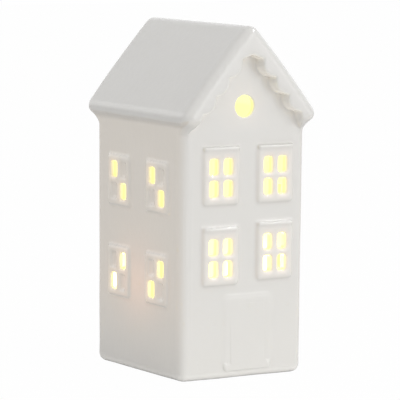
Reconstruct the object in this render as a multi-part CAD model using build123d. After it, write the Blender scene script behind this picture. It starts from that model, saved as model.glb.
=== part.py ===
from build123d import *
import os
from math import cos, radians, sin, tan

# Lighted ceramic house: a slip-cast, glazed shell with punched windows over a coin-cell lamp unit.
# Millimetres. +Z is up, the front faces -Y and +X is to the right of someone looking at the front.
# The origin is on the table, under the middle of the house.

# House walls
HOUSE_WIDTH = 62.2  # across the front, at the eaves
HOUSE_DEPTH = 71.6  # front wall to back wall, at the eaves
WALL = 3.2
WALL_DRAFT = 0.55  # each wall leans in this far from the eaves to the foot
CORNER_RADIUS = 4.2
FOOT_RADIUS = 3.5
FLOOR = 3.4  # around the lamp hole
CAVITY_RADIUS = 2.0

# Front windows, two by two, each of four open panes
WINDOW_WIDTH = 17.6
WINDOW_HEIGHT = 23.0
WINDOW_SPACING = 27.0  # between the middles of two windows of one storey
WINDOW_SHIFT = 1.8  # of the front windows, to the right of the middle
WINDOW_RAISE = 1.2  # of the lower right-hand window, above its neighbour
WINDOW_RELIEF = 1.1
LOWER_SILL = 40.5  # table to the foot of the lower windows
STOREY = 34.0
PANE_WIDTH = 4.1
PANE_HEIGHT = 6.7
MULLION = 3.0
TRANSOM = 2.6
FRAME_RADIUS = 1.2
FRAME_EDGE_RADIUS = 0.8
LINTEL_HEIGHT = 1.6
LINTEL_RELIEF = 1.6

# Side windows, two by two on each side, each with two open and two blind panes
SIDE_WINDOW_WIDTH = 18.0
SIDE_WINDOW_HEIGHT = 21.6
SIDE_WINDOW_SPACING = 31.5
SIDE_WINDOW_SHIFT = 0.9  # of the side windows, towards the front
SIDE_WINDOW_RELIEF = 1.0
SIDE_LOWER_SILL = 31.2
SIDE_STOREY = 39.3
SIDE_PANE_WIDTH = 4.9
SIDE_PANE_HEIGHT = 6.8
SIDE_MULLION = 2.6
SIDE_TRANSOM = 2.5
PANE_RADIUS = 0.6
BLIND_DEPTH = 1.0  # of a blind pane, below the face of its frame

# Front door, a faint relief
FRONT_DOOR_WIDTH = 23.0
FRONT_DOOR_SHIFT = 2.4  # to the right of the middle
FRONT_DOOR_TOP = 35.0
FRONT_DOOR_RELIEF = 0.2

# Roof
EAVES_ABOVE_WINDOWS = 13.9  # top of the upper front windows to the middle of the eave lip
SOFFIT_DROP = 7.0  # middle of the eave lip down to the top of the wall
EAVE_OVERHANG = 1.6
GABLE_OVERHANG = 6.6
ROOF_PITCH = 49.5
ROOF_BULGE = 0.6  # of a slope, above the straight line from lip to ridge
ROOF = 4.2  # thickness, square to the slope
LIP_RISE = 2.1  # middle of the eave lip up to the slope
LIP_RADIUS = 4.7
RIDGE_RADIUS = 4.7
VERGE_RADIUS = 4.4

# Cove under the roof, from the lip down to the top of the wall: the share of SOFFIT_DROP, then the
# shares of EAVE_OVERHANG and of GABLE_OVERHANG that are left there
COVE = [
    (0.00, 1.00, 1.00),
    (0.12, 0.98, 0.96),
    (0.24, 0.86, 0.87),
    (0.36, 0.52, 0.74),
    (0.47, 0.18, 0.61),
    (0.60, 0.03, 0.44),
    (0.79, 0.00, 0.17),
    (1.00, 0.00, 0.00),
]
ATTIC_WINDOW_DIAMETER = 9.4
ATTIC_WINDOW_RISE = 4.3  # its middle above the middle of the eave lip

# Scalloped bargeboard
TRIM_DEPTH = 6.3  # slope to the cusps, square to the slope
TRIM_GAP = 11.0  # between the two topmost cusps
TRIM_PEAK = 2.0  # point of the board's inner edge above the topmost cusps
SCALLOPS = 3  # on each slope, above the tail
SCALLOP_PITCH = 9.8
SCALLOP_SAG = 2.7
TAIL_INSET = 2.2  # foot of a board's tail, from the side wall
TAIL_SAG = 1.0

# Foot pads
PAD_DIAMETER = 8.0
PAD_THICKNESS = 1.0
PAD_SINK = 0.85  # of a pad, into the ceramic
PAD_INSET = 8.2  # middle of a pad from the two walls of its corner

# Lamp housing
CUP_WALL = 1.6
CUP_HEIGHT = 13.2  # flange to the rim
FLANGE_WIDTH = 4.0  # beyond the cup
FLANGE_THICKNESS = 2.0
FLANGE_RECESS = 0.4  # flange above the plane of the ceramic foot
FLANGE_CLEARANCE = 0.6
PLASTIC_WALL = 1.2
BOSS_RADIUS = 2.2

# Grommet between the cup and the ceramic
GROMMET_WALL = 1.8
GROMMET_LIP = 0.6
GROMMET_BEAD = 0.8
SNUG = 0.05  # gap of a push fit, on the radius

# Coin cell, its pocket and the twist door
CELL_DIAMETER = 20.0
CELL_THICKNESS = 3.2
CELL_CAP_DIAMETER = 17.4
CELL_CAP_RISE = 0.3
CELL_EDGE_RADIUS = 0.4
CELL_CLEARANCE = 0.3
CELL_LIFT = 0.1  # above the door
SPRING_SPACE = 1.5  # cell to the ceiling of the pocket
DOOR_NECK_WALL = 1.3
DOOR_CLEARANCE = 0.3
LUG_REACH = 1.1
LUG_THICKNESS = 1.2
LUG_ANGLE = 30.0
LUG_GAP = 0.2  # above and below a lug
LUG_STOP_GAP = 3.0  # degrees
LUGS = 3
DOOR_TWIST = 40.0
LUG_COVER = 1.0  # cup wall left outside the groove
RING_WALL = 0.9
COIN_SLOT_LENGTH = 13.0
COIN_SLOT_WIDTH = 1.8
COIN_SLOT_DEPTH = 1.0

# Contacts, bent from strip
STRIP_THICKNESS = 0.25
STRIP_WIDTH = 4.0
STRIP_BEND = 0.4
STRIP_CLEARANCE = 0.3
CONTACT_GAP = 0.03
TAIL_ABOVE_BOARD = 0.7
NEGATIVE_TAIL_OFFSET = 6.5  # from the middle of the cell
NEGATIVE_TOUCH_OFFSET = 3.0
POSITIVE_STAND_OFF = 0.55  # of the tail, from where the strip touches the cell

# Circuit board and what it carries
BOARD_THICKNESS = 1.2
BOARD_EDGE_GAP = 0.8
SOLDER_SPACE = 1.2  # under the board
LEAD_TAIL = 0.7  # of a lead, past the board
HOLE_CLEARANCE = 0.1
LED_DIAMETER = 5.0
LED_FLANGE_DIAMETER = 5.8
LED_FLANGE_HEIGHT = 1.0
LED_HEIGHT = 8.7
LED_PITCH = 2.54
LED_LEAD = 0.5
RESISTOR_DIAMETER = 1.8
RESISTOR_LENGTH = 3.4
RESISTOR_PITCH = 7.6
RESISTOR_WIRE = 0.5
RESISTOR_LIFT = 0.3
RESISTOR_BEND = 0.6
RESISTOR_Y = 8.5

# Slide switch, hung under the board
SWITCH_LENGTH = 8.6
SWITCH_DEPTH = 3.7
SWITCH_HEIGHT = 3.5
SWITCH_SHEET = 0.3
SWITCH_BASE = 0.8
SWITCH_GAP = 0.6  # to the door ring
SWITCH_MARGIN = 3.3  # to the cup wall, in the middle of the switch
SWITCH_PIN_PITCH = 2.5
SWITCH_PIN = 0.5
SLIDER_LENGTH = 4.4
SLIDER_HEIGHT = 1.4
SLIDER_GAP = 0.15
LEVER_SIZE = 1.8
LEVER_RECESS = 0.2  # tip above the face of the flange
LEVER_CLEARANCE = 0.3
SWITCH_TRAVEL = 2.0
WIPER_THICKNESS = 0.2
WIPER_WIDTH = 1.2
WIPER_LENGTH = 3.6
WIPER_GAP = 0.05
DISH_MARGIN = 3.0  # of the finger dish, round the lever's slot
DISH_DEPTH = 1.0

# Lamp cover and its screws
COVER_THICKNESS = 1.6
COVER_LIP_HEIGHT = 1.5
COVER_LIP_WALL = 1.2
COVER_CLEARANCE = 0.2
COVER_EDGE_RADIUS = 0.6
COLLAR_WALL = 1.4
COLLAR_HEIGHT = 1.5
SCREW_X = 12.5
SCREW_Y = -8.5
SCREW_DIAMETER = 2.0
SCREW_BITE = 5.0
SCREW_HEAD_DIAMETER = 3.8
SCREW_HEAD_HEIGHT = 1.4
SCREW_HEAD_SINK = 0.9
SCREW_RECESS_WIDTH = 0.6
SCREW_RECESS_LENGTH = 2.2
SCREW_RECESS_DEPTH = 0.7

# Levels of the roof, worked out from the above
half_width = HOUSE_WIDTH / 2
half_depth = HOUSE_DEPTH / 2
foot = PAD_THICKNESS - PAD_SINK
eave = LOWER_SILL + STOREY + WINDOW_HEIGHT + EAVES_ABOVE_WINDOWS
wall_top = eave - SOFFIT_DROP
pitch = radians(ROOF_PITCH)
lip_x = half_width + EAVE_OVERHANG
lip_top = eave + LIP_RISE
apex = lip_top + lip_x * tan(pitch)  # where the two slopes would meet, above the rounded ridge

# Radii of the lamp unit
pocket_radius = CELL_DIAMETER / 2 + CELL_CLEARANCE
neck_radius = pocket_radius + DOOR_NECK_WALL
opening_radius = neck_radius + DOOR_CLEARANCE
lug_radius = neck_radius + LUG_REACH
groove_radius = lug_radius + DOOR_CLEARANCE
ring_radius = groove_radius + RING_WALL
packed_depth = 2 * groove_radius + RING_WALL + SWITCH_GAP + SWITCH_DEPTH + SWITCH_MARGIN
cup_inner = (packed_depth + LUG_COVER - CUP_WALL) / 2
cup_radius = cup_inner + CUP_WALL
flange_radius = cup_radius + FLANGE_WIDTH
hole_radius = cup_radius + SNUG + GROMMET_WALL + SNUG
recess_radius = flange_radius + FLANGE_CLEARANCE
door_y = cup_radius - LUG_COVER - groove_radius
switch_y = door_y - ring_radius - SWITCH_GAP - SWITCH_DEPTH / 2

# Levels of the lamp unit, from the table up
flange_bottom = foot + FLANGE_RECESS
flange_top = flange_bottom + FLANGE_THICKNESS
recess_top = flange_top + GROMMET_LIP
floor_top = recess_top + FLOOR
lug_bottom = flange_top + LUG_GAP
lug_top = lug_bottom + LUG_THICKNESS
groove_top = lug_top + LUG_GAP
cell_bottom = flange_top + CELL_LIFT
cell_top = cell_bottom + CELL_THICKNESS
ceiling = cell_top + SPRING_SPACE
ceiling_top = ceiling + PLASTIC_WALL
board_bottom = ceiling_top + SOLDER_SPACE
board_top = board_bottom + BOARD_THICKNESS
cup_top = flange_top + CUP_HEIGHT
cover_top = cup_top + COVER_THICKNESS
tail_top = board_top + TAIL_ABOVE_BOARD
tail_bottom = board_bottom - LEAD_TAIL
led_bottom = cup_top - LED_FLANGE_HEIGHT
switch_bottom = board_bottom - SWITCH_HEIGHT

# Places of the contacts
touch_radius = CELL_DIAMETER / 2 + CONTACT_GAP + STRIP_THICKNESS / 2
tail_radius = touch_radius + POSITIVE_STAND_OFF
negative_y = door_y - NEGATIVE_TAIL_OFFSET
slot_depth = STRIP_THICKNESS + 2 * STRIP_CLEARANCE
slot_width = STRIP_WIDTH + 2 * STRIP_CLEARANCE

CUT = 1.0  # how far a cutter reaches past the face that it opens


def block(x, y, z):
    """Box between two planes on each axis."""
    middle = [(span[0] + span[1]) / 2 for span in (x, y, z)]
    sizes = [span[1] - span[0] for span in (x, y, z)]
    return Pos(*middle) * Box(*sizes)


def about(middle, size):
    """Span of a size about its middle."""
    return middle - size / 2, middle + size / 2


def disc(radius, low, high, x=0.0, y=0.0):
    """Upright cylinder between two levels."""
    return Pos(x, y, (low + high) / 2) * Cylinder(radius, high - low)


def ring_sector(inner, outer, low, high, start, sweep):
    """Part of a flat ring about Z, from a start angle on."""
    section = Plane.XZ * Pos((inner + outer) / 2, (low + high) / 2) * Rectangle(outer - inner, high - low)
    return Rot(0, 0, start) * revolve(section, Axis.Z, sweep)


def strip(points, plane, width):
    """Strip of spring metal bent along points of a plane."""
    outline = trace(FilletPolyline(*points, radius=STRIP_BEND), STRIP_THICKNESS)
    return extrude(plane * outline, width / 2, both=True)


def slope_point(along, depth):
    """Point of the right-hand gable, from the apex down the slope and square into it."""
    return along * cos(pitch) - depth * sin(pitch), apex - along * sin(pitch) - depth * cos(pitch)


def roof_block():
    """Gable block with bowed slopes and a rounded ridge, lips and verges, flat underneath."""
    middle = slope_point(lip_x / cos(pitch) / 2, -ROOF_BULGE)
    left, right = [
        ThreePointArc((0, apex), (side * middle[0], middle[1]), (side * lip_x, lip_top)) for side in (-1, 1)
    ]
    under = Polyline((-lip_x, lip_top), (-lip_x, eave), (lip_x, eave), (lip_x, lip_top))
    outline = make_face([left, right, under])
    levels = outline.vertices().sort_by(Axis.Y)
    outline = fillet(levels[-1], RIDGE_RADIUS)
    levels = outline.vertices().filter_by_position(Axis.Y, lip_top - SNUG, lip_top + SNUG)
    outline = fillet(levels, LIP_RADIUS)
    solid = extrude(Plane.XZ * outline, half_depth + GABLE_OVERHANG, both=True)
    verges = [
        edge
        for edge in solid.edges().filter_by(Axis.Y, reverse=True)
        if edge.center().Z > eave + SNUG
    ]
    return fillet(verges, VERGE_RADIUS)


def cove_block():
    """Head of the walls, flared out to the lips of the roof and rounded at its corners."""
    sections = []
    for drop, eaves, gables in reversed(COVE):
        width = HOUSE_WIDTH + 2 * EAVE_OVERHANG * eaves
        depth = HOUSE_DEPTH + 2 * GABLE_OVERHANG * gables
        radius = CORNER_RADIUS + (VERGE_RADIUS - CORNER_RADIUS) * gables
        sections.append(Pos(0, 0, eave - SOFFIT_DROP * drop) * RectangleRounded(width, depth, radius))
    return loft(sections, ruled=True)


def trim_cusp(number):
    """Cusp of the right-hand bargeboard, counted from the top down."""
    first = (TRIM_GAP / 2 + TRIM_DEPTH * sin(pitch)) / cos(pitch)
    return slope_point(first + SCALLOP_PITCH * number, TRIM_DEPTH)


def scallop(upper, lower, sag):
    """Arc from one point of the board's edge to the next, bulging away from the slope."""
    middle = ((upper[0] + lower[0]) / 2, (upper[1] + lower[1]) / 2)
    return ThreePointArc(upper, (middle[0] - sag * sin(pitch), middle[1] - sag * cos(pitch)), lower)


def trim_opening():
    """What is cut away below the scalloped edge of a bargeboard, seen from the front."""
    cusps = [trim_cusp(number) for number in range(SCALLOPS + 1)]
    peak = (0, cusps[0][1] + TRIM_PEAK)
    tail = (half_width - TAIL_INSET, wall_top)
    edge = [Line(peak, cusps[0])]
    edge += [scallop(upper, lower, SCALLOP_SAG) for upper, lower in zip(cusps, cusps[1:])]
    edge.append(scallop(cusps[-1], tail, TAIL_SAG))
    below = wall_top - CUT
    edge.append(Polyline(tail, (tail[0], below), (0, below), peak))
    half = make_face(edge)
    return half + mirror(half, Plane.YZ)


def frame_panel(width, height, relief):
    """Raised window frame on the plane z = 0, rooted in the wall behind it."""
    panel = extrude(Pos(0, 0, -WALL / 2) * RectangleRounded(width, height, FRAME_RADIUS), WALL / 2 + relief)
    return fillet(panel.faces().sort_by(Axis.Z)[-1].edges(), FRAME_EDGE_RADIUS)


def lintel():
    """Small moulding along the head of a front window."""
    bar = RectangleRounded(WINDOW_WIDTH, LINTEL_HEIGHT, LINTEL_HEIGHT / 3)
    bar = extrude(Pos(0, (WINDOW_HEIGHT + LINTEL_HEIGHT) / 2, -WALL / 2) * bar, WALL / 2 + LINTEL_RELIEF)
    return fillet(bar.faces().sort_by(Axis.Z)[-1].edges(), LINTEL_HEIGHT / 3)


def front_places():
    """Planes of the four front windows, with x to the right and z out of the wall."""
    for side in (-1, 1):
        for storey in (0, 1):
            x = WINDOW_SHIFT + side * WINDOW_SPACING / 2
            z = LOWER_SILL + WINDOW_HEIGHT / 2 + storey * STOREY
            if side == 1 and storey == 0:
                z += WINDOW_RAISE
            yield Plane((x, -half_depth, z), x_dir=(1, 0, 0), z_dir=(0, -1, 0))


def side_places():
    """Planes of the four left-hand windows, and which way their open panes climb."""
    for side in (-1, 1):
        for storey in (0, 1):
            z = SIDE_LOWER_SILL + SIDE_WINDOW_HEIGHT / 2 + storey * SIDE_STOREY
            origin = (-half_width, side * SIDE_WINDOW_SPACING / 2 - SIDE_WINDOW_SHIFT, z)
            yield Plane(origin, x_dir=(0, -1, 0), z_dir=(-1, 0, 0)), 1 - 2 * storey


def pane(width, height, mullion, transom, column, row):
    """Outline of one pane of a two-by-two window, column and row being -1 or 1."""
    x = column * (mullion + width) / 2
    y = row * (transom + height) / 2
    return Pos(x, y) * RectangleRounded(width, height, PANE_RADIUS)


def front_window_cut():
    """The four open panes of a front window, right through the wall."""
    cut = Part()
    for column in (-1, 1):
        for row in (-1, 1):
            outline = pane(PANE_WIDTH, PANE_HEIGHT, MULLION, TRANSOM, column, row)
            cut += extrude(Pos(0, 0, -WALL - CUT) * outline, WALL + 2 * CUT + WINDOW_RELIEF)
    return cut


def side_window_cut(climb):
    """Two open panes on one diagonal of a side window and two blind ones on the other."""
    cut = Part()
    for column in (-1, 1):
        for row in (-1, 1):
            outline = pane(SIDE_PANE_WIDTH, SIDE_PANE_HEIGHT, SIDE_MULLION, SIDE_TRANSOM, column, row)
            bottom = -WALL - CUT if column * row == climb else SIDE_WINDOW_RELIEF - BLIND_DEPTH
            cut += extrude(Pos(0, 0, bottom) * outline, SIDE_WINDOW_RELIEF + CUT - bottom)
    return cut


def cavity():
    """Hollow of the house, a wall's thickness inside its outside."""
    inner_half = half_width - WALL
    inner_apex = apex - ROOF / cos(pitch)
    shoulder = inner_apex - inner_half * tan(pitch)
    points = [(0, inner_apex), (inner_half, shoulder), (inner_half, floor_top)]
    points += [(-x, z) for x, z in reversed(points[1:])]
    outline = make_face(FilletPolyline(*points, radius=CAVITY_RADIUS, close=True))
    return extrude(Plane.XZ * outline, half_depth - WALL, both=True)


def wall_plan(lean, level):
    """Outline of the walls at a level, where they lean in this far."""
    width = HOUSE_WIDTH - 2 * lean
    depth = HOUSE_DEPTH - 2 * lean
    return Pos(0, 0, level) * RectangleRounded(width, depth, CORNER_RADIUS - lean)


def make_ceramic_house():
    """The slip-cast shell: walls, roof, bargeboards, windows, floor and lamp hole in one piece."""
    walls = loft([wall_plan(WALL_DRAFT, foot), wall_plan(0, wall_top)])
    walls = fillet(walls.faces().sort_by(Axis.Z)[0].edges(), FOOT_RADIUS)

    roof = cove_block() + roof_block()
    for plane in (Plane.XZ.offset(half_depth), Plane.XZ.offset(-half_depth - GABLE_OVERHANG)):
        roof -= extrude(plane * trim_opening(), GABLE_OVERHANG)
    house = walls + roof

    door_height = FRONT_DOOR_TOP - foot - FOOT_RADIUS
    door_plane = Plane.XZ.offset(half_depth - WALL / 2)
    door = RectangleRounded(FRONT_DOOR_WIDTH, door_height, FRAME_RADIUS)
    door = Pos(FRONT_DOOR_SHIFT, FRONT_DOOR_TOP - door_height / 2) * door
    raised = [extrude(door_plane * door, WALL / 2 + FRONT_DOOR_RELIEF)]
    cuts = [cavity(), disc(hole_radius, foot, floor_top + CUT), disc(recess_radius, foot - CUT, recess_top)]
    pad_recess = PAD_DIAMETER / 2 + HOLE_CLEARANCE
    cuts += [disc(pad_recess, foot - CUT, PAD_THICKNESS, x, y) for x, y in pad_places()]
    for plane in front_places():
        raised += [plane * frame_panel(WINDOW_WIDTH, WINDOW_HEIGHT, WINDOW_RELIEF), plane * lintel()]
        cuts.append(plane * front_window_cut())
    for plane, climb in side_places():
        panel = plane * frame_panel(SIDE_WINDOW_WIDTH, SIDE_WINDOW_HEIGHT, SIDE_WINDOW_RELIEF)
        cut = plane * side_window_cut(climb)
        raised += [panel, mirror(panel, Plane.YZ)]
        cuts += [cut, mirror(cut, Plane.YZ)]
    attic = Pos(0, eave + ATTIC_WINDOW_RISE) * Circle(ATTIC_WINDOW_DIAMETER / 2)
    cuts.append(extrude(Plane.XZ.offset(half_depth - WALL - CUT) * attic, WALL + 2 * CUT))
    return house + raised - cuts


def pad_places():
    """Middles of the four foot pads."""
    x = half_width - PAD_INSET
    y = half_depth - PAD_INSET
    return [(-x, -y), (x, -y), (-x, y), (x, y)]


def make_foot_pads():
    """Four soft pads let into the corners of the foot."""
    pads = [disc(PAD_DIAMETER / 2, 0, PAD_THICKNESS, x, y) for x, y in pad_places()]
    return [fillet(pad.edges().sort_by(Axis.Z)[0], foot / 2) for pad in pads]


def make_retaining_grommet():
    """Soft ring with a lip under the floor and a bead over it."""
    inner = cup_radius + SNUG
    sleeve = hole_radius - SNUG
    bead = hole_radius + GROMMET_BEAD
    bead_top = floor_top + 2 * GROMMET_BEAD
    outline = Polyline(
        (inner, flange_top),
        (flange_radius, flange_top),
        (flange_radius, recess_top),
        (sleeve, recess_top),
        (sleeve, floor_top),
        (bead, floor_top),
        (bead, floor_top + GROMMET_BEAD),
        (sleeve, bead_top),
        (inner, bead_top),
        close=True,
    )
    return revolve(Plane.XZ * make_face(outline), Axis.Z)


def lug_starts():
    """Angle at which each door lug starts when the door is shut."""
    return [90.0 - LUG_ANGLE / 2 + 360.0 / LUGS * number for number in range(LUGS)]


def screw_places():
    """Middles of the two cover screws."""
    return [(-SCREW_X, SCREW_Y), (SCREW_X, SCREW_Y)]


def lever_slot(margin, low, high):
    """Slot that the lever slides in, widened by a margin. The lever rests at its -X end."""
    length = LEVER_SIZE + SWITCH_TRAVEL + 2 * margin
    width = LEVER_SIZE + 2 * margin
    outline = RectangleRounded(length, width, min(margin, width / 2 - SNUG))
    return extrude(Pos(0, switch_y, low) * outline, high - low)


def make_lamp_housing():
    """Flanged cup with the bayonet ring, the battery pocket and the two screw bosses."""
    pocket_wall = pocket_radius + PLASTIC_WALL
    body = disc(flange_radius, flange_bottom, flange_top)
    body = fillet(body.edges().sort_by(Axis.Z)[0], FLANGE_RECESS)
    body += disc(cup_radius, flange_top, cup_top) - disc(cup_inner, flange_top, cup_top)
    body += disc(ring_radius, flange_top, groove_top + PLASTIC_WALL, 0, door_y)
    body += disc(pocket_wall, flange_top, board_bottom, 0, door_y)
    for x, y in screw_places():
        body += disc(BOSS_RADIUS, flange_top, board_bottom, x, y)

    at_door = Pos(0, door_y, 0)
    cuts = [
        disc(opening_radius, flange_bottom - CUT, groove_top, 0, door_y),
        disc(pocket_radius, flange_top, ceiling, 0, door_y),
        disc(pocket_radius, ceiling_top, board_bottom + CUT, 0, door_y),
    ]
    sweep = LUG_ANGLE + 2 * LUG_STOP_GAP
    for start in lug_starts():
        shut = start - LUG_STOP_GAP
        open_at = shut - DOOR_TWIST
        way = sweep + DOOR_TWIST
        groove = ring_sector(pocket_radius, groove_radius, flange_top, groove_top, open_at, way)
        entry = ring_sector(pocket_radius, groove_radius, flange_bottom - CUT, groove_top, open_at, sweep)
        cuts += [at_door * groove, at_door * entry]

    window_side = pocket_wall + STRIP_CLEARANCE
    slot_side = tail_radius - slot_depth / 2
    window_y = about(door_y, slot_width)
    cuts.append(block((0, window_side), window_y, (groove_top, ceiling)))
    cuts.append(block((slot_side, window_side), window_y, (ceiling, board_bottom + CUT)))
    negative_slot = about(0, slot_width), about(negative_y, slot_depth)
    cuts.append(block(*negative_slot, (ceiling - CUT, ceiling_top + CUT)))
    cuts.append(lever_slot(LEVER_CLEARANCE, flange_bottom - CUT, flange_top + CUT))
    cuts.append(lever_slot(DISH_MARGIN, flange_bottom - CUT, flange_bottom + DISH_DEPTH))
    bore_bottom = board_bottom - SCREW_BITE - CUT
    for x, y in screw_places():
        cuts.append(disc(SCREW_DIAMETER / 2 + SNUG, bore_bottom, board_bottom + CUT, x, y))
    return body - cuts


def make_battery_door():
    """Round door with a coin slot, a neck round the cell and three bayonet lugs."""
    door = disc(neck_radius, flange_bottom, lug_top)
    door -= disc(pocket_radius, flange_top, lug_top + CUT)
    for start in lug_starts():
        door += ring_sector(pocket_radius, lug_radius, lug_bottom, lug_top, start, LUG_ANGLE)
    slot = SlotOverall(COIN_SLOT_LENGTH, COIN_SLOT_WIDTH)
    door -= extrude(Pos(0, 0, flange_bottom - CUT) * slot, CUT + COIN_SLOT_DEPTH)
    return Pos(0, door_y, 0) * door


def make_coin_cell():
    """Button cell, positive can down and negative cap up."""
    can_top = cell_top - CELL_CAP_RISE
    can = disc(CELL_DIAMETER / 2, cell_bottom, can_top, 0, door_y)
    can = fillet(can.edges().filter_by(GeomType.CIRCLE), CELL_EDGE_RADIUS)
    return can + disc(CELL_CAP_DIAMETER / 2, can_top - CELL_EDGE_RADIUS, cell_top, 0, door_y)


def make_positive_contact():
    """Spring that bows in against the rim of the cell and rises through the board."""
    low = groove_top + CONTACT_GAP
    high = cell_top
    points = [
        (tail_radius, low),
        (touch_radius, (low + high) / 2),
        (tail_radius, high),
        (tail_radius, tail_top),
    ]
    return strip(points, Plane.XZ.offset(-door_y), STRIP_WIDTH)


def make_negative_contact():
    """Spring that runs along the ceiling of the pocket and dips on to the cap of the cell."""
    run = ceiling - STRIP_CLEARANCE
    touch = cell_top + CONTACT_GAP + STRIP_THICKNESS / 2
    points = [
        (negative_y, tail_top),
        (negative_y, run),
        (door_y, run),
        (door_y + NEGATIVE_TOUCH_OFFSET, touch),
        (door_y + 2 * NEGATIVE_TOUCH_OFFSET, run),
    ]
    return strip(points, Plane.YZ, STRIP_WIDTH)


def pin_places():
    """Places of the three switch pins along X."""
    return [-SWITCH_PIN_PITCH, 0.0, SWITCH_PIN_PITCH]


def make_circuit_board():
    """Round board with holes for leads, pins, contact tails and screws."""
    board = disc(cup_inner - BOARD_EDGE_GAP, board_bottom, board_top)
    z = (board_bottom - CUT, board_top + CUT)
    cuts = [
        block(about(tail_radius, slot_depth), about(door_y, slot_width), z),
        block(about(0, slot_width), about(negative_y, slot_depth), z),
    ]
    for x, y in screw_places():
        cuts.append(disc(SCREW_DIAMETER / 2 + HOLE_CLEARANCE, *z, x, y))
    for x in (-LED_PITCH / 2, LED_PITCH / 2):
        cuts.append(disc(LED_LEAD / 2 * 2**0.5 + HOLE_CLEARANCE, *z, x, 0))
    for x in (-RESISTOR_PITCH / 2, RESISTOR_PITCH / 2):
        cuts.append(disc(RESISTOR_WIRE / 2 + HOLE_CLEARANCE, *z, x, RESISTOR_Y))
    for x in pin_places():
        cuts.append(disc(SWITCH_PIN / 2 * 2**0.5 + HOLE_CLEARANCE, *z, x, switch_y))
    return board - cuts


def make_led_lens():
    """Round-topped lamp with its foot flange under the cover."""
    radius = LED_DIAMETER / 2
    top = led_bottom + LED_HEIGHT
    body = disc(LED_FLANGE_DIAMETER / 2, led_bottom, cup_top)
    return body + disc(radius, cup_top, top - radius) + Pos(0, 0, top - radius) * Sphere(radius)


def make_led_leads():
    """Two square legs from the lamp down through the board."""
    places = (-LED_PITCH / 2, LED_PITCH / 2)
    return [block(about(x, LED_LEAD), about(0, LED_LEAD), (tail_bottom, led_bottom)) for x in places]


def make_resistor():
    """Axial resistor lying on the board, its wires bent down through it."""
    radius = RESISTOR_DIAMETER / 2
    z = board_top + RESISTOR_LIFT + radius
    half = RESISTOR_PITCH / 2
    body = Pos(0, RESISTOR_Y, z) * Rot(0, 90, 0) * Cylinder(radius, RESISTOR_LENGTH)
    body = fillet(body.edges().filter_by(GeomType.CIRCLE), radius / 2)
    route = [(-half, tail_bottom), (-half, z), (half, z), (half, tail_bottom)]
    points = [(x, RESISTOR_Y, level) for x, level in route]
    path = FilletPolyline(*points, radius=RESISTOR_BEND)
    return body + sweep(Plane(points[0]) * Circle(RESISTOR_WIRE / 2), path)


def make_switch_case():
    """Sheet-metal can, open at the board and slotted for the lever."""
    outer = block(about(0, SWITCH_LENGTH), about(switch_y, SWITCH_DEPTH), (switch_bottom, board_bottom))
    outer = fillet(outer.edges().filter_by(Axis.Z), SWITCH_SHEET)
    inner = block(
        about(0, SWITCH_LENGTH - 2 * SWITCH_SHEET),
        about(switch_y, SWITCH_DEPTH - 2 * SWITCH_SHEET),
        (switch_bottom + SWITCH_SHEET, board_bottom),
    )
    slot = lever_slot(LEVER_CLEARANCE, switch_bottom - CUT, switch_bottom + SWITCH_SHEET + CUT)
    return outer - inner - slot


def switch_base_bottom():
    """Level of the underside of the switch's insulating plate."""
    return board_bottom - SWITCH_BASE


def make_switch_base():
    """Insulating plate in the mouth of the can, holed for the pins."""
    gap = 2 * (SWITCH_SHEET + SNUG)
    z = (switch_base_bottom(), board_bottom)
    plate = block(about(0, SWITCH_LENGTH - gap), about(switch_y, SWITCH_DEPTH - gap), z)
    side = SWITCH_PIN + 2 * SNUG
    return plate - [block(about(x, side), about(switch_y, side), z) for x in pin_places()]


def make_switch_pins():
    """Three pins from the underside of the plate up through the board."""
    z = (switch_base_bottom(), board_top + TAIL_ABOVE_BOARD)
    return [block(about(x, SWITCH_PIN), about(switch_y, SWITCH_PIN), z) for x in pin_places()]


def make_switch_wiper():
    """Brass bridge on top of the slider, shut against two pins."""
    top = switch_base_bottom() - WIPER_GAP
    x = about(-SWITCH_TRAVEL / 2, WIPER_LENGTH)
    return block(x, about(switch_y, WIPER_WIDTH), (top - WIPER_THICKNESS, top))


def make_switch_lever():
    """Slider inside the can and the lever that a fingernail moves from below."""
    x = -SWITCH_TRAVEL / 2
    top = switch_base_bottom() - WIPER_GAP - WIPER_THICKNESS
    depth = SWITCH_DEPTH - 2 * (SWITCH_SHEET + SLIDER_GAP)
    slider_bottom = switch_bottom + SWITCH_SHEET + SLIDER_GAP
    slider = block(about(x, SLIDER_LENGTH), about(switch_y, depth), (slider_bottom, top))
    tip = flange_bottom + LEVER_RECESS
    stem = block(about(x, LEVER_SIZE), about(switch_y, LEVER_SIZE), (tip, slider_bottom))
    return slider + fillet(stem.faces().sort_by(Axis.Z)[0].edges(), LEVER_SIZE / 6)


def make_lamp_cover():
    """Lid with a locating lip, two posts that hold the board down and a collar round the lamp."""
    lip_outer = cup_inner - COVER_CLEARANCE
    lip_bottom_z = cup_top - COVER_LIP_HEIGHT
    lid = disc(cup_radius, cup_top, cover_top)
    lid = fillet(lid.edges().sort_by(Axis.Z)[-1], COVER_EDGE_RADIUS)
    lid += disc(lip_outer, lip_bottom_z, cup_top) - disc(lip_outer - COVER_LIP_WALL, lip_bottom_z, cup_top)
    led_hole = LED_DIAMETER / 2 + HOLE_CLEARANCE
    lid += disc(led_hole + COLLAR_WALL, cover_top, cover_top + COLLAR_HEIGHT)
    cuts = [disc(led_hole, cup_top - CUT, cover_top + COLLAR_HEIGHT + CUT)]
    shank_hole = SCREW_DIAMETER / 2 + HOLE_CLEARANCE
    head_hole = SCREW_HEAD_DIAMETER / 2 + HOLE_CLEARANCE
    for x, y in screw_places():
        lid += disc(BOSS_RADIUS, board_top, cup_top, x, y) & disc(lip_outer, board_top, cup_top)
        cuts.append(disc(shank_hole, board_top - CUT, cover_top + CUT, x, y))
        cuts.append(disc(head_hole, cover_top - SCREW_HEAD_SINK, cover_top + CUT, x, y))
    return lid - cuts


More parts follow.
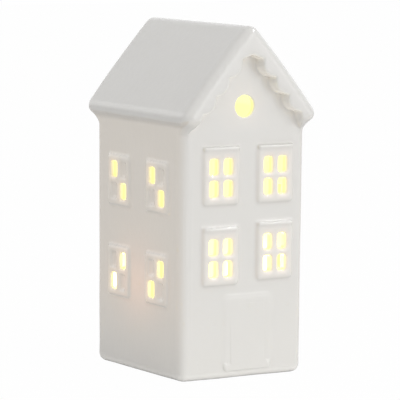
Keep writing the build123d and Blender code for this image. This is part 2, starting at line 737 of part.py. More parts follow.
def make_cover_screws():
    """Two pan-head screws through cover and board into the housing."""
    seat = cover_top - SCREW_HEAD_SINK
    top = seat + SCREW_HEAD_HEIGHT
    screws = []
    for x, y in screw_places():
        head = disc(SCREW_HEAD_DIAMETER / 2, seat, top, x, y)
        head = fillet(head.edges().sort_by(Axis.Z)[-1], SCREW_HEAD_HEIGHT / 3)
        z = (top - SCREW_RECESS_DEPTH, top + CUT)
        along = block(about(x, SCREW_RECESS_LENGTH), about(y, SCREW_RECESS_WIDTH), z)
        across = block(about(x, SCREW_RECESS_WIDTH), about(y, SCREW_RECESS_LENGTH), z)
        screws.append(head - along - across + disc(SCREW_DIAMETER / 2, board_bottom - SCREW_BITE, seat, x, y))
    return screws


NODES = {
    "ceramic_house": make_ceramic_house,
    "foot_pads": make_foot_pads,
    "retaining_grommet": make_retaining_grommet,
    "lamp_housing": make_lamp_housing,
    "lamp_cover": make_lamp_cover,
    "cover_screws": make_cover_screws,
    "circuit_board": make_circuit_board,
    "led_lens": make_led_lens,
    "led_leads": make_led_leads,
    "resistor": make_resistor,
    "switch_case": make_switch_case,
    "switch_base": make_switch_base,
    "switch_pins": make_switch_pins,
    "switch_wiper": make_switch_wiper,
    "switch_lever": make_switch_lever,
    "coin_cell": make_coin_cell,
    "positive_contact": make_positive_contact,
    "negative_contact": make_negative_contact,
    "battery_door": make_battery_door,
}

os.makedirs("parts", exist_ok=True)
for name, make in NODES.items():
    made = make()
    solids = made if isinstance(made, list) else [made]
    export_step(Compound([solid for piece in solids for solid in piece.solids()]), f"parts/{name}.step")
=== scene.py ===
"""Lighted ceramic house: glaze, glow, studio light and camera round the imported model, in metres."""
import heapq
import math

import bpy
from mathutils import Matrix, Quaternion, Vector, kdtree, noise


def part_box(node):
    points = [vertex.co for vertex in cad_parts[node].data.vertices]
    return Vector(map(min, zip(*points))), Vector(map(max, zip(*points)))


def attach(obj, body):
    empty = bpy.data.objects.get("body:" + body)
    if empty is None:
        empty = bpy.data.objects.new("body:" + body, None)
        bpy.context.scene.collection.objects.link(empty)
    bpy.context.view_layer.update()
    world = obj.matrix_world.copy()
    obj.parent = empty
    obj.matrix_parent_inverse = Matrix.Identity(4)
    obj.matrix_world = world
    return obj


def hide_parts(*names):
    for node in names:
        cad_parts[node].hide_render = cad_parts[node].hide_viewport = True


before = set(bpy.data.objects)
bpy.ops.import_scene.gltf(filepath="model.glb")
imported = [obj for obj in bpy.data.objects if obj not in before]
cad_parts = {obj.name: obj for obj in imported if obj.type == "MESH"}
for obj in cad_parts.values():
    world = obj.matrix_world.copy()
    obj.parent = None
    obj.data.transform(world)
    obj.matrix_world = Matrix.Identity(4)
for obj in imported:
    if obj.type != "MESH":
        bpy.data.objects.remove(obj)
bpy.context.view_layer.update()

# Camera, fitted to the photographed edges
VIEW_AZIMUTH = math.radians(-31.85)
VIEW_ELEVATION = math.radians(6.386)
VIEW_ROLL = math.radians(0.461)
VIEW_DISTANCE = 1.290
VIEW_TARGET_HEIGHT = 0.07250
VIEW_TARGET_RIGHT = 0.00034
LENS_MM = 268.9
SENSOR_MM = 36.0

# House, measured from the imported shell
EAVE_OVERHANG = 0.0016
GABLE_OVERHANG = 0.0066
WALL = 0.0032
WALL_DRAFT = 0.00055  # how far a wall leans in, from its top to the foot
CORNER_RADIUS = 0.0042
WALL_TOP = 0.1044
ROOF_THICKNESS = 0.0042
ROOF_PITCH = math.radians(49.5)
RIDGE_DROP = 0.0022  # rounded ridge below the point where the slopes would meet
FLOOR_TOP = 0.00655
BOARD_AHEAD = 0.001  # in front of a gable wall, past which the skin is a bargeboard's
shell_high = Vector(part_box("ceramic_house")[1])
half_width = shell_high.x - EAVE_OVERHANG
half_depth = shell_high.y - GABLE_OVERHANG
apex = shell_high.z + RIDGE_DROP

# Glaze-softened shell
VOXEL = 0.00042
SMOOTH_ROUNDS = 12
SMOOTH_FACTORS = (0.5, -0.52)  # in, then out again, so that thin glazing bars keep their width
KEPT_FACES = 0.16  # share of the even faces that is left in the end
RELIEF_ROUNDS = 26  # more rounds for the low relief on the walls, where the glaze has pooled
RELIEF_TOP = 0.098
RELIEF_DEPTH = 0.0014  # of the blind panes, the deepest of the relief
RELIEF_START = (0.0009, 0.0024)  # from an open pane, over which the extra rounds begin
REVEAL_END = 0.8  # share of the wall's thickness down to which the skin counts as an open pane's
DOOR_ROUNDS = 20
DOOR_FLATTENED = 0.55  # share of its relief that the glaze has filled
DOOR_TOP = (0.0350, 0.0366)  # heights and widths over which the door's own rounds end
DOOR_SIDE = (0.020, 0.024)
BOARD_SHARE = 0.6  # of the extra rounds, on the scalloped edges of the boards
BOARD_START = (0.004, 0.007)  # below the roof's face, over which that share begins
WAVE_HEIGHT = 0.00012
WAVE_LENGTH = 0.018

# Light of the lamp in the panes and round them, as the glaze shows it
LAMP = (0.004, 0.0, 0.034)
LAMP_COLOUR = (1.0, 0.95, 0.30)
NEAR = 0.030  # distance at which the lamp's direct light is taken as 1
ROOM_DEPTH = 0.0028  # of the lit inside, below the outer face
ROOM_EDGE = 0.0006  # depth over which the lit inside begins
ROOM_START = (0.0004, 0.0034)  # depth over which a reveal's light gives way to the room's
ROOM_GLOW = 1.55
ROOM_DIRECT = 1.2
REVEAL_REACH = (0.0046, 0.0056)  # from the lit inside along the skin, over which a reveal's light ends
REVEAL_TURN = (0.25, 0.85)  # share of facing out of the wall over which it ends too
REVEAL_GLOW = 1.0
REVEAL_DIRECT = 220.0
REVEAL_FOCUS = 3.0  # power of the cosine
PANE_START = (0.0004, 0.0012)  # depth over which a reveal's light begins
ATTIC_START = 0.0006  # how much deeper it begins in the attic window
ATTIC_RISE = 0.002  # height above the walls over which the attic begins
ATTIC_DIMMED = 0.07  # share of the room's light that the attic lacks
HALO_REACH = 0.0021  # fall-off of the light round a pane
HALO_START = 0.0040
HALO_SPAN = 4  # fall-offs beyond a reveal's end, past which there is none
HALO_GLOW = 0.15
HALO_COLOUR = (1.0, 0.60, 0.26)
ATTIC_HALO = 0.25  # share of it left round the attic window
ATTIC_HALO_START = 0.004  # below the top of the walls, from where the share falls to that

# Light that comes through the porcelain
SKIN_LAMP = (0.0, 0.0, 0.038)  # middle of the light that the side walls get
SKIN_GLOW = 0.165
SKIN_FOCUS = 2.6  # power of the cosine
SKIN_COLOUR = (1.0, 0.34, 0.08)
BODY_GLOW = (0.070, 0.044, 0.014)  # through the side walls, from the light inside that comes from all round
FOOT_FADE = (-0.010, 0.040)  # heights over which the light through the side walls comes in
SIDE_END = (0.002, 0.005)  # above the walls, over which it ends
GABLE_GLOW = (0.060, 0.058, 0.052)  # the same through the gable walls
GABLE_FADE = (1.35, -1.05)  # its share at the foot, and the change of it up to the top of the wall
GABLE_START = (-0.0030, -0.0015)  # depth over which it begins, so that the boards have none

# Light passed on from nearby white surfaces
UNDER_GLOW = (0.22, 0.20, 0.165)  # on the undersides of the boards, from the lit gable below them
UNDER_START = (0.0030, 0.0090)  # above the walls, over which it begins
FILL_GLOW = (0.24, 0.22, 0.19)  # between the boards and the gable wall
FOOT_GLOW = (0.34, 0.335, 0.325)  # from the table, under the rounded foot
FOOT_HEIGHT = (0.002, 0.005)  # heights over which it ends

# Glaze
GLAZE = (0.81, 0.797, 0.770)
GLAZE_SPREAD = 0.01  # of its uneven colour, to each side
GLAZE_ROUGHNESS = (0.10, 0.22)
TINT_SCALE = 45.0
SHEEN_SCALE = 160.0
HOLLOW_REACH = 0.0035  # hollows of about this size hold thicker, warmer glaze, darkened further by painted shade
HOLLOW_SAMPLES = 8
POOL_SHADE_START = (0.35, 0.95)  # openness over which the thicker glaze and its painted shade give way to the open glaze
# thicker glaze in the hollows, with shade painted in as a darker colour
GLAZE_POOL_AND_SHADE = (0.74, 0.71, 0.665)
SOFFIT_SHADE = (0.76, 0.725, 0.675)  # painted shade, darker and warmer, on the undersides of the eaves
SOFFIT_OUT = (-0.0004, 0.0002)  # past the side walls, over which an underside begins
SOFFIT_START = (-0.001, 0.001)  # above the walls, over which it begins
SOFFIT_TILT = (0.10, 0.45)  # downward share of its facing over which it begins
LIT_GLAZE = (0.06, 0.05, 0.02)  # dark where the painted light is, so that only that shows
PINHOLE_SPREAD = 55.0  # cells in a metre, with one pinhole each
PINHOLE_SIZE = (0.009, 0.022)  # radii in cells, over which it ends
PINHOLE = (0.36, 0.33, 0.29)
GLAZE_BUMP = (260.0, 0.10, 0.0003)  # scale, strength and height
COAT_SCALE = 330.0
COAT_BUMP = (0.15, 1.0)  # strength on the open glaze and on the tops of the frames
COAT_HEIGHT = 0.0014
LINTEL_UP = (0.2, 0.5)  # upward share of its facing over which a face counts as the top of a frame
LINTEL_END = 0.004  # below the top of the walls, over which that ends
GLAZE_SHADER = {
    "Emission Strength": 1.0,
    "Subsurface Weight": 0.5,
    "Subsurface Radius": (1.0, 1.0, 1.0),
    "Subsurface Scale": 0.0010,
    "Specular IOR Level": 0.3,
    "Coat Weight": 0.6,
    "Coat Roughness": 0.05,
}

# Lamp lens
LENS_COLOUR = (1.0, 0.9, 0.6)
LENS_TINTS = ((0.95, 0.85, 0.55), (1.0, 0.93, 0.66))
LENS_TINT_SCALE = 400.0
LENS_ROUGHNESS = 0.1
LENS_COAT = 0.5
LENS_FOOT = (1.0, 0.72, 0.22)
LENS_TOP = (1.0, 0.95, 0.45)
LENS_GLOW = 4.0
LENS_BUMP = (700.0, 0.15, 0.00003)  # scale, strength and height

# Moulded and plated finishes
GRAIN = 900.0
GRAIN_STRENGTH = 0.25
GRAIN_HEIGHT = 0.00004
TINT_GRAINS = 6  # grains across one patch of uneven colour
TINT_SPREAD = 0.05

# Studio
WORLD_LIGHT = 0.63
FLOOR_SIZE = 6.0
FLOOR_COLOUR = (0.85, 0.85, 0.85)
FLOOR_ROUGHNESS = 0.9
FLOOR_WHITE = 0.98  # share of plain white that the camera sees, the rest is the floor with its shadow
LAMPS = (  # name, place, size and watts; a glint lights only the gloss
    ("key", (0.70, -1.30, 0.45), 1.3, 7.1),
    ("left_softbox", (-0.60, -0.60, 0.90), 0.9, 0.8),
    ("top_glint", (0.53, -0.29, 0.80), 0.14, 2.2),
    ("rim_glint", (-0.62, 1.00, 0.46), 0.5, 0.4),
)
lamp_aim = Vector((0.0, 0.0, 2 * half_depth))  # about the middle of the house


def material(name, colour, roughness, metallic=0.0):
    """New node material, with its node tree and its shader."""
    made = bpy.data.materials.new(name)
    made.use_nodes = True
    tree = made.node_tree
    shader = tree.nodes["Principled BSDF"]
    shader.inputs["Base Color"].default_value = (*colour, 1.0)
    shader.inputs["Roughness"].default_value = roughness
    shader.inputs["Metallic"].default_value = metallic
    return made, tree, shader


def input_of(made, key):
    """Input of a node, by its name with _ for each space, or by its number after a _."""
    if key[0] == "_":
        return made.inputs[int(key[1:])]
    return made.inputs[key.replace("_", " ")]


def node(tree, kind, **values):
    """New node of a tree, its properties set by name and its inputs set or linked by name or number."""
    made = tree.nodes.new(kind)
    for key, value in values.items():
        if hasattr(made, key):
            setattr(made, key, value)
        elif isinstance(value, bpy.types.NodeSocket):
            tree.links.new(value, input_of(made, key))
        else:
            input_of(made, key).default_value = value
    return made


def maths(tree, operation, first, second=0.0, third=0.0):
    """Result of a math node on sockets or numbers."""
    return node(tree, "ShaderNodeMath", operation=operation, _0=first, _1=second, _2=third).outputs[0]


def product(tree, first, *others):
    """All the values multiplied."""
    for other in others:
        first = maths(tree, "MULTIPLY", first, other)
    return first


def positive(tree, value):
    """Value, or 0 where it is negative."""
    return maths(tree, "MAXIMUM", value, 0.0)


def power(tree, value, exponent):
    """Positive part of a value, raised to a power."""
    return maths(tree, "POWER", positive(tree, value), exponent)


def step(tree, value, low, high):
    """Smooth step from 0 at low to 1 at high."""
    made = node(
        tree, "ShaderNodeMapRange", interpolation_type="SMOOTHSTEP",
        Value=value, From_Min=low, From_Max=high,
    )
    return made.outputs[0]


def fall(tree, value, low, high):
    """Smooth step from 1 at low to 0 at high."""
    return maths(tree, "SUBTRACT", 1.0, step(tree, value, low, high))


def vectors(tree, operation, first, second=(0.0, 0.0, 0.0)):
    """Vector math node on sockets or vectors."""
    return node(tree, "ShaderNodeVectorMath", operation=operation, _0=first, _1=second)


def scaled(tree, colour, factor):
    """Colour times a factor."""
    return node(tree, "ShaderNodeVectorMath", operation="SCALE", _0=colour, Scale=factor).outputs[0]


def blend_numbers(tree, factor, first, second):
    """Number between two, by a factor."""
    return node(tree, "ShaderNodeMix", data_type="FLOAT", _0=factor, _2=first, _3=second).outputs[0]


def blend_colours(tree, factor, first, second):
    """Colour between two, by a factor."""
    first, second = (
        colour if isinstance(colour, bpy.types.NodeSocket) else (*colour, 1.0) for colour in (first, second)
    )
    return node(tree, "ShaderNodeMix", data_type="RGBA", _0=factor, _6=first, _7=second).outputs[2]


def parts(tree, vector):
    """X, Y and Z of a vector."""
    return node(tree, "ShaderNodeSeparateXYZ", Vector=vector).outputs


def object_place(tree):
    """Place on the piece, in metres, in the frame of the whole part."""
    return tree.nodes.new("ShaderNodeTexCoord").outputs["Object"]


def surface_normal(tree):
    """Direction that the surface faces."""
    return tree.nodes.new("ShaderNodeNewGeometry").outputs["Normal"]


def looking_down(tree):
    """Downward share of the surface's facing, negative where it looks up."""
    return maths(tree, "MULTIPLY", parts(tree, surface_normal(tree))["Z"], -1.0)


def painted(tree, name):
    """Value painted on the vertices of the shell."""
    return node(tree, "ShaderNodeAttribute", attribute_name=name).outputs["Fac"]


def cloud(tree, place, scale, detail=3.0, roughness=0.55):
    """Noise value about 0.5."""
    made = node(tree, "ShaderNodeTexNoise", Vector=place, Scale=scale, Detail=detail, Roughness=roughness)
    return made.outputs["Fac"]


def bump(tree, shader, height, strength, distance, layer="Normal"):
    """Bump of a height socket on a shader, or on one of its layers."""
    made = node(tree, "ShaderNodeBump", Height=height, Strength=strength, Distance=distance)
    tree.links.new(made.outputs["Normal"], shader.inputs[layer])


def shifted(level, span):
    """Two levels, a span's two ends above a level."""
    return level + span[0], level + span[1]


def lamp_on_surface(tree, place, source):
    """Direct light of a lamp: positive on faces turned away from it, negative on faces turned to it."""
    away = vectors(tree, "SUBTRACT", place, source).outputs[0]
    distance = vectors(tree, "LENGTH", away).outputs["Value"]
    heading = vectors(tree, "NORMALIZE", away).outputs[0]
    cosine = vectors(tree, "DOT_PRODUCT", heading, surface_normal(tree)).outputs["Value"]
    nearness = maths(tree, "DIVIDE", NEAR, distance)
    return product(tree, cosine, product(tree, nearness, nearness))


def wall_depth(tree, place):
    """Depth of a point below the nearer wall's outer face at the top of the wall."""
    across, along, _ = parts(tree, place)
    to_side = maths(tree, "SUBTRACT", half_width, maths(tree, "ABSOLUTE", across))
    to_gable = maths(tree, "SUBTRACT", half_depth, maths(tree, "ABSOLUTE", along))
    return maths(tree, "MINIMUM", to_side, to_gable)


def side_share(tree, place):
    """How far a face is a side wall, above the foot that the lamp unit keeps dark and below the eave."""
    across = parts(tree, surface_normal(tree))["X"]
    height = parts(tree, place)["Z"]
    inside = product(tree, step(tree, height, *FOOT_FADE), fall(tree, height, *shifted(WALL_TOP, SIDE_END)))
    return product(tree, across, across, inside)


def gable_share(tree, place, depth):
    """Light through a gable wall, not the boards: less of it higher up, further from the lamp."""
    along = parts(tree, surface_normal(tree))["Y"]
    height = parts(tree, place)["Z"]
    fade = maths(tree, "MULTIPLY_ADD", height, GABLE_FADE[1] / WALL_TOP, GABLE_FADE[0])
    return product(tree, along, along, step(tree, depth, *GABLE_START), positive(tree, fade))


def under_share(tree, place):
    """How far a face of the boards looks down."""
    _, along, height = parts(tree, place)
    above = step(tree, height, *shifted(WALL_TOP, UNDER_START))
    ahead = step(tree, maths(tree, "ABSOLUTE", along), half_depth, half_depth + BOARD_AHEAD)
    return product(tree, positive(tree, looking_down(tree)), product(tree, above, ahead))


def foot_share(tree, place):
    """How far a face is the rounded foot, which looks half down on to the white table."""
    down = looking_down(tree)
    slant = product(tree, positive(tree, down), maths(tree, "SUBTRACT", 1.0, down))
    return product(tree, slant, fall(tree, parts(tree, place)["Z"], *FOOT_HEIGHT))


def soffit_share(tree, place):
    """How far a face is the underside of an eave, where shade is painted into the colour."""
    across, _, height = parts(tree, place)
    out = step(tree, maths(tree, "ABSOLUTE", across), *shifted(half_width, SOFFIT_OUT))
    above = step(tree, height, *shifted(WALL_TOP, SOFFIT_START))
    return product(tree, step(tree, looking_down(tree), *SOFFIT_TILT), product(tree, out, above))


def lintel_share(tree, place):
    """How far a face on the walls looks up, as the tops of the window frames do."""
    up = parts(tree, surface_normal(tree))["Z"]
    on_wall = fall(tree, parts(tree, place)["Z"], WALL_TOP - LINTEL_END, WALL_TOP)
    return product(tree, step(tree, up, *LINTEL_UP), on_wall)


def glaze_light(tree, place, depth, attic, lit, openness):
    """Light of the shell: in its panes, round them, through its skin and from surfaces nearby."""
    facing = maths(tree, "MULTIPLY", lamp_on_surface(tree, place, LAMP), -1.0)
    reveal = maths(tree, "MULTIPLY_ADD", power(tree, facing, REVEAL_FOCUS), REVEAL_DIRECT, REVEAL_GLOW)
    chamber = maths(tree, "MULTIPLY_ADD", positive(tree, facing), ROOM_DIRECT, ROOM_GLOW)
    chamber = product(tree, chamber, maths(tree, "MULTIPLY_ADD", attic, -ATTIC_DIMMED, 1.0))
    inner = blend_numbers(tree, step(tree, depth, *ROOM_START), reveal, chamber)
    side = side_share(tree, place)
    behind = power(tree, lamp_on_surface(tree, place, SKIN_LAMP), SKIN_FOCUS)
    unlit = maths(tree, "SUBTRACT", 1.0, lit)
    closeness = maths(tree, "SUBTRACT", 1.0, openness)
    light = scaled(tree, LAMP_COLOUR, product(tree, inner, lit))
    for colour, share in (
        (HALO_COLOUR, product(tree, painted(tree, "halo"), HALO_GLOW)),
        (SKIN_COLOUR, product(tree, behind, side, SKIN_GLOW, unlit)),
        (BODY_GLOW, product(tree, side, unlit)),
        (GABLE_GLOW, product(tree, gable_share(tree, place, depth), unlit)),
        (UNDER_GLOW, under_share(tree, place)),
        (FILL_GLOW, product(tree, closeness, attic, unlit)),
        (FOOT_GLOW, foot_share(tree, place)),
    ):
        light = vectors(tree, "ADD", light, scaled(tree, colour, share)).outputs[0]
    return light


def base_colour_and_painted_shade(tree, place, lit, openness):
    """Colour of the glaze: uneven, warmer and darker in the hollows from thicker glaze and painted shade,
    with painted shade under the eaves and a few pinholes.
    """
    dark, pale = (tuple(part + shift for part in GLAZE) for shift in (-GLAZE_SPREAD, GLAZE_SPREAD))
    colour = blend_colours(tree, cloud(tree, place, TINT_SCALE), dark, pale)
    # hollows darker and warmer: thicker glaze and painted shade
    colour = blend_colours(tree, step(tree, openness, *POOL_SHADE_START), GLAZE_POOL_AND_SHADE, colour)
    # painted shade on the undersides of the eaves
    colour = blend_colours(tree, soffit_share(tree, place), colour, SOFFIT_SHADE)
    cells = node(tree, "ShaderNodeTexVoronoi", Vector=place, Scale=PINHOLE_SPREAD).outputs["Distance"]
    colour = blend_colours(tree, step(tree, cells, *PINHOLE_SIZE), PINHOLE, colour)
    return blend_colours(tree, lit, colour, LIT_GLAZE)


def glaze_material():
    """White porcelain under clear glaze, lit from behind through its panes and a little through its skin."""
    smooth, rough = GLAZE_ROUGHNESS
    made, tree, shader = material("porcelain_glaze", GLAZE, (smooth + rough) / 2)
    for key, value in GLAZE_SHADER.items():
        shader.inputs[key].default_value = value
    place = object_place(tree)
    depth = wall_depth(tree, place)
    attic = step(tree, parts(tree, place)["Z"], WALL_TOP, WALL_TOP + ATTIC_RISE)
    start = maths(tree, "MULTIPLY_ADD", attic, -ATTIC_START, depth)
    lit = product(tree, painted(tree, "lit"), step(tree, start, *PANE_START))
    hollow = node(
        tree, "ShaderNodeAmbientOcclusion", samples=HOLLOW_SAMPLES, only_local=True, Distance=HOLLOW_REACH,
    )
    openness = hollow.outputs["AO"]
    tree.links.new(glaze_light(tree, place, depth, attic, lit, openness), shader.inputs["Emission Color"])
    tree.links.new(base_colour_and_painted_shade(tree, place, lit, openness), shader.inputs["Base Color"])
    sheen = node(
        tree, "ShaderNodeMapRange", Value=cloud(tree, place, SHEEN_SCALE), To_Min=smooth, To_Max=rough,
    )
    tree.links.new(sheen.outputs[0], shader.inputs["Roughness"])
    scale, strength, height = GLAZE_BUMP
    bump(tree, shader, cloud(tree, place, scale), strength, height)
    weak, strong = COAT_BUMP
    strength = maths(tree, "MULTIPLY_ADD", lintel_share(tree, place), strong - weak, weak)
    bump(tree, shader, cloud(tree, place, COAT_SCALE), strength, COAT_HEIGHT, "Coat Normal")
    return made


def lens_material():
    """Clear epoxy over a glowing chip: brightest at the top, with a slightly uneven skin."""
    made, tree, shader = material("led_epoxy", LENS_COLOUR, LENS_ROUGHNESS)
    place = object_place(tree)
    low, high = (corner[2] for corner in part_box("led_lens"))
    glow = blend_colours(tree, step(tree, parts(tree, place)["Z"], low, high), LENS_FOOT, LENS_TOP)
    tree.links.new(glow, shader.inputs["Emission Color"])
    shader.inputs["Emission Strength"].default_value = LENS_GLOW
    shader.inputs["Coat Weight"].default_value = LENS_COAT
    tint = blend_colours(tree, cloud(tree, place, LENS_TINT_SCALE), *LENS_TINTS)
    tree.links.new(tint, shader.inputs["Base Color"])
    scale, strength, height = LENS_BUMP
    bump(tree, shader, cloud(tree, place, scale), strength, height)
    return made


def plain_material(name, colour, roughness, metallic=0.0, grain=GRAIN):
    """Moulded or plated finish with a fine grain and a little uneven colour."""
    made, tree, shader = material(name, colour, roughness, metallic)
    place = object_place(tree)
    dark = tuple(part * (1 - TINT_SPREAD) for part in colour)
    pale = tuple(min(1.0, part * (1 + TINT_SPREAD)) for part in colour)
    tint = blend_colours(tree, cloud(tree, place, grain / TINT_GRAINS), dark, pale)
    tree.links.new(tint, shader.inputs["Base Color"])
    bump(tree, shader, cloud(tree, place, grain), GRAIN_STRENGTH, GRAIN_HEIGHT)
    return made


def ramp(value, low, high):
    """Smooth step from 0 at low to 1 at high."""
    share = min(max((value - low) / (high - low), 0.0), 1.0)
    return share * share * (3 - 2 * share)


def below_roof(place):
    """How far a point lies below the outer face of the roof."""
    return (apex - place.z) * math.cos(ROOF_PITCH) - abs(place.x) * math.sin(ROOF_PITCH)


def depth_in_house(place):
    """How deep a point lies below the nearest outer face of the house, negative outside it."""
    across, along = abs(place.x), abs(place.y)
    side = across - half_width + CORNER_RADIUS
    gable = along - half_depth + CORNER_RADIUS
    beyond = math.hypot(max(side, 0.0), max(gable, 0.0)) + min(max(side, gable), 0.0)
    lean = WALL_DRAFT * max(0.0, 1 - place.z / WALL_TOP)
    to_wall = CORNER_RADIUS - beyond - lean
    to_roof = below_roof(place) - (ROOF_THICKNESS - WALL)
    return min(to_wall, to_roof, place.z - (FLOOR_TOP - WALL))


def with_modifiers(mesh, add):
    """Mesh that comes out of the modifiers which a function adds to an object of a given mesh."""
    piece = bpy.data.objects.new("softening", mesh)
    bpy.context.scene.collection.objects.link(piece)
    add(piece)
    graph = bpy.context.evaluated_depsgraph_get()
    made = bpy.data.meshes.new_from_object(piece.evaluated_get(graph))
    bpy.data.objects.remove(piece)
    return made


def add_remesh(piece):
    """Even faces, small enough for the glazing bars."""
    remesh = piece.modifiers.new("even_mesh", "REMESH")
    remesh.mode = "VOXEL"
    remesh.voxel_size = VOXEL


def add_smoothing(piece, name, factor, rounds, group=""):
    """Rounds of smoothing, on a group of the vertices or on all."""
    smooth = piece.modifiers.new(name, "SMOOTH")
    smooth.factor = factor
    smooth.iterations = rounds
    smooth.vertex_group = group


def group_relief(piece):
    """Group of the vertices on the walls' outer faces, clear of the open panes, and on the boards' edges."""
    group = piece.vertex_groups.new(name="relief")
    depths = [depth_in_house(point.co) for point in piece.data.vertices]
    reveals = [
        point.co for point, depth in zip(piece.data.vertices, depths)
        if RELIEF_DEPTH < depth < REVEAL_END * WALL and point.co.z < RELIEF_TOP
    ]
    tree = kdtree.KDTree(len(reveals))
    for index, place in enumerate(reveals):
        tree.insert(place, index)
    tree.balance()
    for point, depth in zip(piece.data.vertices, depths):
        weight = 0.0
        if depth < RELIEF_DEPTH and FLOOR_TOP < point.co.z < RELIEF_TOP:
            weight = ramp(tree.find(point.co)[2], *RELIEF_START)
        elif point.co.z > RELIEF_TOP and abs(point.co.y) > half_depth + BOARD_AHEAD:
            weight = BOARD_SHARE * ramp(below_roof(point.co), *BOARD_START)
        if weight > 0:
            group.add([point.index], weight, "REPLACE")


def door_share(place):
    """How far a point is on the front door, the faintest of the relief, 0 to 1."""
    if abs(place.y + half_depth) > RELIEF_DEPTH or not FLOOR_TOP < place.z < DOOR_TOP[1]:
        return 0.0
    return (1 - ramp(place.z, *DOOR_TOP)) * (1 - ramp(abs(place.x), *DOOR_SIDE))


def group_door(piece):
    """Group of the vertices on the front door."""
    group = piece.vertex_groups.new(name="door")
    for point in piece.data.vertices:
        weight = door_share(point.co)
        if weight > 0:
            group.add([point.index], weight, "REPLACE")


def add_rounding(piece):
    """Glaze-rounded edges, softer on the low relief of the walls, with fewer faces on the flats."""
    group_relief(piece)
    group_door(piece)
    for factor in SMOOTH_FACTORS:
        add_smoothing(piece, "glaze_rounding", factor, SMOOTH_ROUNDS)
    add_smoothing(piece, "pooled_glaze", SMOOTH_FACTORS[0], RELIEF_ROUNDS, "relief")
    add_smoothing(piece, "faint_door", SMOOTH_FACTORS[0], DOOR_ROUNDS, "door")
    piece.modifiers.new("fewer_faces", "DECIMATE").ratio = KEPT_FACES


def flatten_door(mesh):
    """Move the front door's relief part of the way back to the wall."""
    for point in mesh.vertices:
        share = door_share(point.co)
        if share > 0:
            wall = WALL_DRAFT * (1 - point.co.z / WALL_TOP) - half_depth
            proud = max(0.0, wall - point.co.y)
            point.co.y += share * DOOR_FLATTENED * proud


def add_shading(piece):
    """Shading that follows the larger faces, so that slivers leave no patch on the flats."""
    piece.modifiers.new("even_shading", "WEIGHTED_NORMAL").mode = "FACE_AREA"


def softened_mesh(source):
    """Copy of a mesh with even faces, glaze-rounded edges and the slight unevenness of a slip casting."""
    even = with_modifiers(source.copy(), add_remesh)
    mesh = with_modifiers(even, add_rounding)
    flatten_door(mesh)
    moved = [
        point.co + point.normal * WAVE_HEIGHT * noise.noise(point.co / WAVE_LENGTH)
        for point in mesh.vertices
    ]
    mesh.vertices.foreach_set("co", [part for place in moved for part in place])
    mesh.update()
    mesh.materials.clear()
    mesh.shade_smooth()
    return with_modifiers(mesh, add_shading)


def light_reach(mesh, depths):
    """Way of each vertex along the skin from the lit inside, cut off past the panes' frames."""
    limit = REVEAL_REACH[1] + HALO_SPAN * HALO_REACH
    links = [[] for _ in mesh.vertices]
    places = [point.co.copy() for point in mesh.vertices]
    for edge in mesh.edges:
        first, second = edge.vertices
        span = (places[first] - places[second]).length
        links[first].append((second, span))
        links[second].append((first, span))
    reach = [0.0 if depth > ROOM_DEPTH else limit for depth in depths]
    queue = [(0.0, index) for index, way in enumerate(reach) if way == 0.0]
    while queue:
        way, index = heapq.heappop(queue)
        if way > reach[index]:
            continue
        for other, span in links[index]:
            if way + span < reach[other]:
                reach[other] = way + span
                heapq.heappush(queue, (way + span, other))
    return reach


def outward(point):
    """How far a vertex of a wall faces straight out of that wall, 0 to 1."""
    if half_depth - abs(point.co.y) < half_width - abs(point.co.x):
        return max(0.0, math.copysign(point.normal.y, point.normal.y * point.co.y))
    return max(0.0, math.copysign(point.normal.x, point.normal.x * point.co.x))


def paint_light(mesh):
    """Paint where the shell is lit by its lamp: room and reveals, and the halo round each pane."""
    depths = [depth_in_house(point.co) for point in mesh.vertices]
    reach = light_reach(mesh, depths)
    end = math.exp(-(REVEAL_REACH[1] + HALO_SPAN * HALO_REACH - HALO_START) / HALO_REACH)
    lit, halo = [], []
    for point, depth, way in zip(mesh.vertices, depths, reach):
        deep = ramp(depth, ROOM_DEPTH - ROOM_EDGE, ROOM_DEPTH)
        in_reveal = (1 - ramp(way, *REVEAL_REACH)) * (1 - ramp(outward(point), *REVEAL_TURN))
        lit.append(max(deep, in_reveal))
        share = 1 - (1 - ATTIC_HALO) * ramp(point.co.z, WALL_TOP - ATTIC_HALO_START, WALL_TOP)
        halo.append(share * (math.exp(-max(0.0, way - HALO_START) / HALO_REACH) - end))
    for name, values in (("lit", lit), ("halo", halo)):
        mesh.attributes.new(name, "FLOAT", "POINT").data.foreach_set("value", values)


def porcelain_shell():
    """The ceramic shell under its glaze, lit from inside."""
    mesh = softened_mesh(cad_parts["ceramic_house"].data)
    paint_light(mesh)
    mesh.materials.append(glaze_material())
    piece = bpy.data.objects.new("porcelain_shell", mesh)
    bpy.context.scene.collection.objects.link(piece)
    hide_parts("ceramic_house")
    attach(piece, "house")


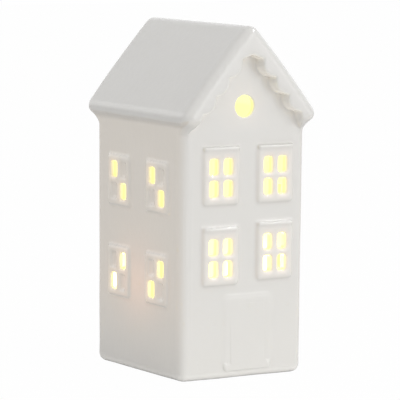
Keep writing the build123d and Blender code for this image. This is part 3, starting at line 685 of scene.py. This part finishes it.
def dress_nodes():
    """Materials of the carried-over pieces."""
    finishes = {
        "foot_pads": plain_material("pad_foam", (0.72, 0.72, 0.70), 0.9, grain=2500.0),
        "retaining_grommet": plain_material("silicone", (0.66, 0.67, 0.67), 0.45),
        "lamp_housing": plain_material("housing_plastic", (0.75, 0.74, 0.71), 0.45, grain=3000.0),
        "lamp_cover": plain_material("cover_plastic", (0.77, 0.76, 0.73), 0.4, grain=3000.0),
        "cover_screws": plain_material("zinc_steel", (0.62, 0.62, 0.63), 0.3, 1.0),
        "circuit_board": plain_material("board_laminate", (0.03, 0.14, 0.06), 0.35),
        "led_lens": lens_material(),
        "led_leads": plain_material("tinned_wire", (0.72, 0.72, 0.72), 0.3, 1.0),
        "resistor": plain_material("resistor_lacquer", (0.55, 0.42, 0.26), 0.35),
        "switch_case": plain_material("switch_can", (0.66, 0.66, 0.67), 0.28, 1.0),
        "switch_base": plain_material("phenolic", (0.18, 0.09, 0.04), 0.5),
        "switch_pins": plain_material("pin_brass", (0.75, 0.6, 0.3), 0.3, 1.0),
        "switch_wiper": plain_material("wiper_brass", (0.75, 0.6, 0.3), 0.3, 1.0),
        "switch_lever": plain_material("lever_plastic", (0.02, 0.02, 0.022), 0.4, grain=3000.0),
        "coin_cell": plain_material("cell_steel", (0.7, 0.7, 0.71), 0.22, 1.0),
        "positive_contact": plain_material("spring_strip", (0.73, 0.71, 0.67), 0.3, 1.0),
        "negative_contact": plain_material("spring_strip_top", (0.73, 0.71, 0.67), 0.3, 1.0),
        "battery_door": plain_material("door_plastic", (0.73, 0.72, 0.69), 0.45, grain=3000.0),
    }
    for name, finish in finishes.items():
        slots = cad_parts[name].data.materials
        for index in range(len(slots)):
            slots[index] = finish


def white_world():
    """White room, plain to the camera and in the gloss, and a little dimmer as a light."""
    world = bpy.data.worlds.new("white_room")
    bpy.context.scene.world = world
    world.use_nodes = True
    tree = world.node_tree
    path = tree.nodes.new("ShaderNodeLightPath").outputs
    seen = maths(tree, "MAXIMUM", path["Is Camera Ray"], path["Is Glossy Ray"])
    seen = maths(tree, "MAXIMUM", seen, path["Is Transmission Ray"])
    background = tree.nodes["Background"].inputs
    tree.links.new(blend_numbers(tree, seen, WORLD_LIGHT, 1.0), background["Strength"])
    background["Color"].default_value = (1.0, 1.0, 1.0, 1.0)


def white_floor():
    """Floor that the camera sees almost white, with a faint shadow."""
    bpy.ops.mesh.primitive_plane_add(size=FLOOR_SIZE)
    floor = bpy.context.object
    floor.name = "floor"
    made, tree, shader = material("white_floor", FLOOR_COLOUR, FLOOR_ROUGHNESS)
    path = tree.nodes.new("ShaderNodeLightPath").outputs
    white = node(tree, "ShaderNodeEmission", Strength=1.0)
    share = product(tree, path["Is Camera Ray"], FLOOR_WHITE)
    mix = node(tree, "ShaderNodeMixShader", _0=share, _1=shader.outputs[0], _2=white.outputs[0])
    tree.links.new(mix.outputs[0], tree.nodes["Material Output"].inputs["Surface"])
    floor.data.materials.append(made)


def studio():
    """White world and floor that light the house evenly, with a key light at the front right."""
    scene = bpy.context.scene
    white_world()
    white_floor()
    for name, place, size, watts in LAMPS:
        lamp = bpy.data.lights.new(name, "AREA")
        lamp.size = size
        lamp.energy = watts
        holder = bpy.data.objects.new(name, lamp)
        scene.collection.objects.link(holder)
        holder.visible_diffuse = not name.endswith("glint")
        holder.location = place
        holder.rotation_euler = (lamp_aim - holder.location).to_track_quat("-Z", "Y").to_euler()
    scene.view_settings.view_transform = "Standard"


def camera():
    """Camera at the photographed angle."""
    towards = Vector((
        math.sin(VIEW_AZIMUTH) * math.cos(VIEW_ELEVATION),
        -math.cos(VIEW_AZIMUTH) * math.cos(VIEW_ELEVATION),
        math.sin(VIEW_ELEVATION),
    ))
    right = Vector((math.cos(VIEW_AZIMUTH), math.sin(VIEW_AZIMUTH), 0.0))
    target = Vector((0.0, 0.0, VIEW_TARGET_HEIGHT)) + right * VIEW_TARGET_RIGHT
    lens = bpy.data.cameras.new("camera")
    lens.lens = LENS_MM
    lens.sensor_width = SENSOR_MM
    lens.sensor_fit = "HORIZONTAL"
    holder = bpy.data.objects.new("camera", lens)
    bpy.context.scene.collection.objects.link(holder)
    holder.location = target + towards * VIEW_DISTANCE
    turn = (-towards).to_track_quat("-Z", "Y") @ Quaternion((0.0, 0.0, 1.0), VIEW_ROLL)
    holder.rotation_euler = turn.to_euler()
    bpy.context.scene.camera = holder


porcelain_shell()
dress_nodes()
studio()
camera()
